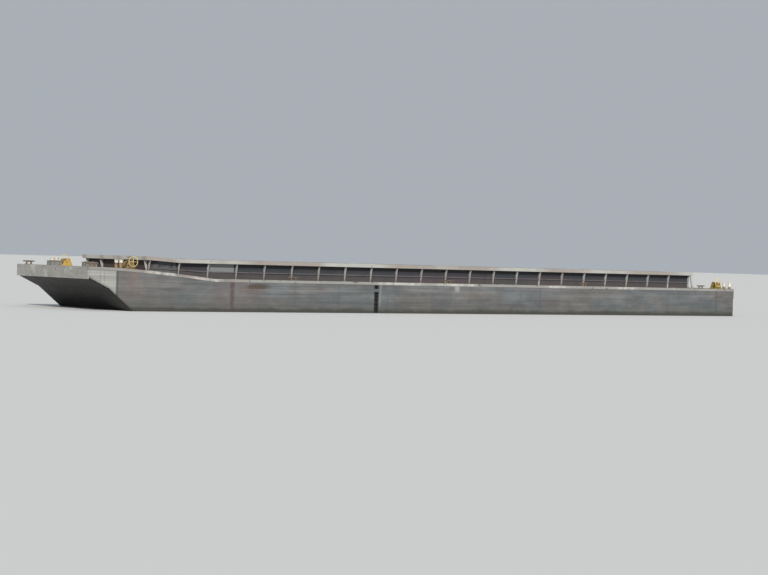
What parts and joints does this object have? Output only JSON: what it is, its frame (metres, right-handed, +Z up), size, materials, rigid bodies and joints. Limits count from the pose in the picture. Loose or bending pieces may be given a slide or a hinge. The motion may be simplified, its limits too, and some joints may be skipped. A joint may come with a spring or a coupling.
{
  "type": "open hopper river barge, 1:2 scale model",
  "caption": "Open hopper river barge with raked bow, square stern, coaming, ladders, bitts, hand winches and hinged hatches; 1:2 scale model.",
  "frame": {"origin": "on the flat bottom amidships, at the bottom centre of the bounding box", "axes": "+X towards the raked bow, +Y to port, +Z up"},
  "size_m": [29.72, 5.335, 2.54],
  "materials": {
    "hull_side": "grey paint, dull, scraped and rust streaked",
    "hull_bottom": "dark bottom paint, worn",
    "hopper_steel": "bare rusted plate scoured by cargo",
    "deck_plate": "worn grey deck paint with rust",
    "end_plate": "grey paint, scraped",
    "gunwale": "light grey, rubbed",
    "coaming": "blue-grey paint, dirty",
    "ladder": "worn grey paint",
    "bitt": "yellow paint, chipped",
    "fitting": "brown worn paint",
    "hatch": "grey paint, worn",
    "winch_drum": "rusty iron with wire rope",
    "handwheel": "pale yellow paint, chipped"
  },
  "bodies": {
    "hull": {"rake_hull": "hull_side", "stern_hull": "hull_side", "bottom_hull": "hull_bottom", "hopper_floor": "hopper_steel", "hopper_bow_slope": "hopper_steel", "bow_deck": "deck_plate", "stern_deck": "deck_plate", "wing_aft_port": "hull_side", "ladder_trunk_port": "hull_side", "wing_fore_port": "hull_side", "side_deck_port": "deck_plate", "wing_aft_starboard": "hull_side", "ladder_trunk_starboard": "hull_side", "wing_fore_starboard": "hull_side", "side_deck_starboard": "deck_plate", "headlog": "end_plate", "stern_log": "end_plate", "gunwale_port": "gunwale", "gunwale_starboard": "gunwale", "coaming_port": "coaming", "coaming_starboard": "coaming", "coaming_bow": "coaming", "coaming_stern": "coaming", "hopper_ladder_bow": "ladder", "hopper_ladder_stern": "ladder", "bitt_bow_port": "bitt", "kevel_bow_port": "fitting", "winch_stand_bow_port": "fitting", "hatch_coaming_bow_port": "hatch", "bitt_stern_port": "bitt", "kevel_stern_port": "fitting", "winch_stand_stern_port": "fitting", "hatch_coaming_stern_port": "hatch", "kevel_side_1_port": "fitting", "kevel_side_2_port": "fitting", "kevel_side_3_port": "fitting", "bitt_bow_starboard": "bitt", "kevel_bow_starboard": "fitting", "winch_stand_bow_starboard": "fitting", "hatch_coaming_bow_starboard": "hatch", "bitt_stern_starboard": "bitt", "kevel_stern_starboard": "fitting", "winch_stand_stern_starboard": "fitting", "hatch_coaming_stern_starboard": "hatch", "kevel_side_1_starboard": "fitting", "kevel_side_2_starboard": "fitting", "kevel_side_3_starboard": "fitting"},
    "winch_drum_bow_port": {"winch_drum_bow_port": "winch_drum"},
    "winch_wheel_bow_port": {"winch_wheel_bow_port": "handwheel"},
    "hatch_lid_bow_port": {"hatch_lid_bow_port": "hatch"},
    "winch_drum_stern_port": {"winch_drum_stern_port": "winch_drum"},
    "winch_wheel_stern_port": {"winch_wheel_stern_port": "handwheel"},
    "hatch_lid_stern_port": {"hatch_lid_stern_port": "hatch"},
    "winch_drum_bow_starboard": {"winch_drum_bow_starboard": "winch_drum"},
    "winch_wheel_bow_starboard": {"winch_wheel_bow_starboard": "handwheel"},
    "hatch_lid_bow_starboard": {"hatch_lid_bow_starboard": "hatch"},
    "winch_drum_stern_starboard": {"winch_drum_stern_starboard": "winch_drum"},
    "winch_wheel_stern_starboard": {"winch_wheel_stern_starboard": "handwheel"},
    "hatch_lid_stern_starboard": {"hatch_lid_stern_starboard": "hatch"}
  },
  "joints": [
    {"name": "winch_drum_bow_port_spin", "type": "hinge", "parent": "hull", "child": "winch_drum_bow_port", "pos_m": [13.22045, 2.3, 2.25696], "axis": [0, 1, 0], "continuous": true},
    {"name": "winch_wheel_bow_port_spin", "type": "hinge", "parent": "hull", "child": "winch_wheel_bow_port", "pos_m": [13.11541, 2.3, 2.34952], "axis": [0, 1, 0], "continuous": true},
    {"name": "hatch_lid_bow_port_swing", "type": "hinge", "parent": "hull", "child": "hatch_lid_bow_port", "pos_m": [13.8794, 1.3, 2.28583], "axis": [0, -1, 0], "range_deg": [0, 105]},
    {"name": "winch_drum_stern_port_spin", "type": "hinge", "parent": "hull", "child": "winch_drum_stern_port", "pos_m": [-14.255, 2.25, 1.9803], "axis": [0, 1, 0], "continuous": true},
    {"name": "winch_wheel_stern_port_spin", "type": "hinge", "parent": "hull", "child": "winch_wheel_stern_port", "pos_m": [-14.15601, 2.25, 2.0793], "axis": [0, 1, 0], "continuous": true},
    {"name": "hatch_lid_stern_port_swing", "type": "hinge", "parent": "hull", "child": "hatch_lid_stern_port", "pos_m": [-13.437, 1.3, 1.9773], "axis": [0, -1, 0], "range_deg": [0, 105]},
    {"name": "winch_drum_bow_starboard_spin", "type": "hinge", "parent": "hull", "child": "winch_drum_bow_starboard", "pos_m": [13.22045, -2.3, 2.25696], "axis": [0, 1, 0], "continuous": true},
    {"name": "winch_wheel_bow_starboard_spin", "type": "hinge", "parent": "hull", "child": "winch_wheel_bow_starboard", "pos_m": [13.11541, -2.3, 2.34952], "axis": [0, 1, 0], "continuous": true},
    {"name": "hatch_lid_bow_starboard_swing", "type": "hinge", "parent": "hull", "child": "hatch_lid_bow_starboard", "pos_m": [13.8794, -1.3, 2.28583], "axis": [0, -1, 0], "range_deg": [0, 105]},
    {"name": "winch_drum_stern_starboard_spin", "type": "hinge", "parent": "hull", "child": "winch_drum_stern_starboard", "pos_m": [-14.255, -2.25, 1.9803], "axis": [0, 1, 0], "continuous": true},
    {"name": "winch_wheel_stern_starboard_spin", "type": "hinge", "parent": "hull", "child": "winch_wheel_stern_starboard", "pos_m": [-14.15601, -2.25, 2.0793], "axis": [0, 1, 0], "continuous": true},
    {"name": "hatch_lid_stern_starboard_swing", "type": "hinge", "parent": "hull", "child": "hatch_lid_stern_starboard", "pos_m": [-13.437, -1.3, 1.9773], "axis": [0, -1, 0], "range_deg": [0, 105]}
  ],
  "couplings": [
    {"joint": "winch_wheel_bow_port_spin", "follows": "winch_drum_bow_port_spin", "ratio": -4.7143},
    {"joint": "winch_wheel_stern_port_spin", "follows": "winch_drum_stern_port_spin", "ratio": -4.7143},
    {"joint": "winch_wheel_bow_starboard_spin", "follows": "winch_drum_bow_starboard_spin", "ratio": -4.7143},
    {"joint": "winch_wheel_stern_starboard_spin", "follows": "winch_drum_stern_starboard_spin", "ratio": -4.7143}
  ]
}
